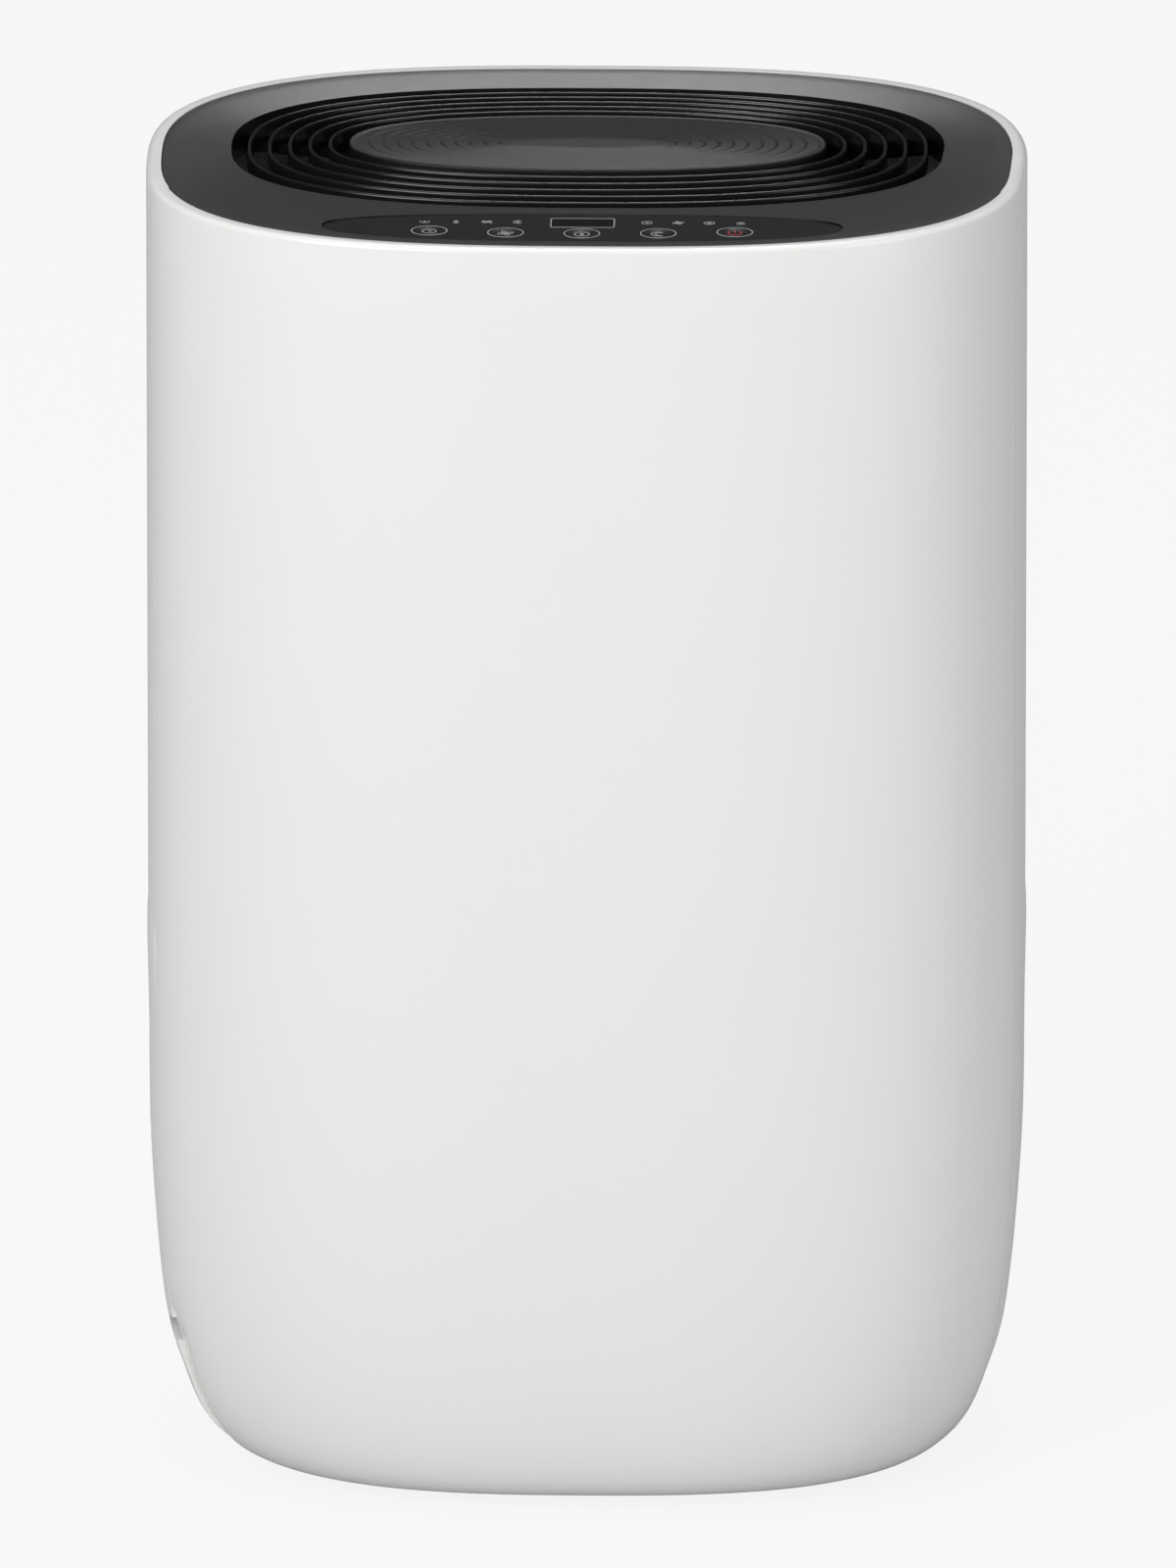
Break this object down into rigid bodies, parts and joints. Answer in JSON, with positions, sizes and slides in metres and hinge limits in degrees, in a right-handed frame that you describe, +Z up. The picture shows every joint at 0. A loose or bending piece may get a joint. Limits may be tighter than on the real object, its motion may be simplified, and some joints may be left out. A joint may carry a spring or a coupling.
{
  "type": "dehumidifier",
  "caption": "Upright compressor dehumidifier with a rounded casing, top outlet grille, touch-height key panel, side-loading water tank and rear air inlet.",
  "frame": {"origin": "on the floor, under the middle of the casing", "axes": "+Z up, the front with the control panel faces -Y, +X is the viewer's right"},
  "size_m": [0.3309, 0.2364, 0.503],
  "materials": {
    "white_abs": "glossy injection-moulded ABS",
    "black_abs": "fine spark-textured ABS",
    "gloss_black": "glossy moulded ABS",
    "tinted_lens": "polished smoke-tinted acrylic",
    "lamp_diffuser": "moulded light guide",
    "circuit_board": "solder-masked glass fibre",
    "electronic_parts": "moulded component cases",
    "natural_pp": "unpigmented polypropylene",
    "grey_abs": "plain moulded ABS",
    "filter_net": "woven nylon net",
    "fin_aluminium": "bare rolled sheet",
    "copper": "drawn copper tube",
    "black_enamel": "gloss black enamel on steel",
    "zinc_steel": "zinc-plated steel",
    "can_aluminium": "drawn aluminium can",
    "rubber": "moulded rubber"
  },
  "bodies": {
    "cabinet": {"base_screws": "zinc_steel", "base_tray": "grey_abs", "bay_wall": "grey_abs", "board_components": "electronic_parts", "bulkhead": "zinc_steel", "capillary_tube": "copper", "compressor": "black_enamel", "compressor_feet": "rubber", "compressor_foot_plate": "zinc_steel", "condenser_fins": "fin_aluminium", "condenser_tube": "copper", "control_board": "circuit_board", "control_panel": "gloss_black", "cord_inlet": "black_abs", "corner_pads": "rubber", "discharge_pipe": "copper", "display_lens": "tinted_lens", "display_module": "electronic_parts", "drain_nozzle": "white_abs", "drip_tray": "grey_abs", "electronics_box": "grey_abs", "evaporator_fins": "fin_aluminium", "evaporator_tube": "copper", "fan_motor": "black_enamel", "fan_scroll": "grey_abs", "filter_drier": "copper", "front_shell": "white_abs", "handle_cup": "white_abs", "humidity_sensor": "electronic_parts", "indicator_lamps": "lamp_diffuser", "key_switches": "electronic_parts", "liquid_pipe": "copper", "middle_foot": "rubber", "outlet_disc": "black_abs", "outlet_slats": "gloss_black", "outlet_spider": "black_abs", "power_board": "circuit_board", "rear_shell": "white_abs", "run_capacitor": "can_aluminium", "suction_pipe": "copper", "tank_shelf": "grey_abs", "tank_switch": "electronic_parts", "terminal_cover": "black_abs", "top_cover": "black_abs"},
    "tank": {"tank_face": "white_abs", "tank_tub": "natural_pp", "tank_cover": "natural_pp", "float_pin": "zinc_steel"},
    "float": {"float_arm": "natural_pp", "float_magnet": "zinc_steel"},
    "inlet_door": {"inlet_grille": "white_abs", "filter_frame": "grey_abs", "filter_mesh": "filter_net"},
    "fan": {"fan_wheel": "grey_abs", "fan_shaft": "zinc_steel"},
    "timer_key": {"timer_key": "gloss_black"},
    "mode_key": {"mode_key": "gloss_black"},
    "humidity_key": {"humidity_key": "gloss_black"},
    "fan_speed_key": {"fan_speed_key": "gloss_black"},
    "power_key": {"power_key": "gloss_black"}
  },
  "joints": [
    {"name": "tank_slide", "type": "slide", "parent": "cabinet", "child": "tank", "axis": [-1, 0, 0], "range_m": [0, 0.19]},
    {"name": "float_swing", "type": "hinge", "parent": "tank", "child": "float", "pos_m": [0.012, 0.046, 0.092], "axis": [1, 0, 0], "range_deg": [0, 20]},
    {"name": "inlet_door_tilt", "type": "hinge", "parent": "cabinet", "child": "inlet_door", "pos_m": [0, 0.1182, 0.1824], "axis": [-1, 0, 0], "range_deg": [0, 25]},
    {"name": "fan_spin", "type": "hinge", "parent": "cabinet", "child": "fan", "pos_m": [0, 0, 0.33], "axis": [0, 1, 0], "continuous": true},
    {"name": "timer_key_press", "type": "slide", "parent": "cabinet", "child": "timer_key", "axis": [0, -0.04, -0.9992], "range_m": [0, 0.0004], "stiffness_N_per_m": 800},
    {"name": "mode_key_press", "type": "slide", "parent": "cabinet", "child": "mode_key", "axis": [0, -0.04, -0.9992], "range_m": [0, 0.0004], "stiffness_N_per_m": 800},
    {"name": "humidity_key_press", "type": "slide", "parent": "cabinet", "child": "humidity_key", "axis": [0, -0.04, -0.9992], "range_m": [0, 0.0004], "stiffness_N_per_m": 800},
    {"name": "fan_speed_key_press", "type": "slide", "parent": "cabinet", "child": "fan_speed_key", "axis": [0, -0.04, -0.9992], "range_m": [0, 0.0004], "stiffness_N_per_m": 800},
    {"name": "power_key_press", "type": "slide", "parent": "cabinet", "child": "power_key", "axis": [0, -0.04, -0.9992], "range_m": [0, 0.0004], "stiffness_N_per_m": 800}
  ]
}
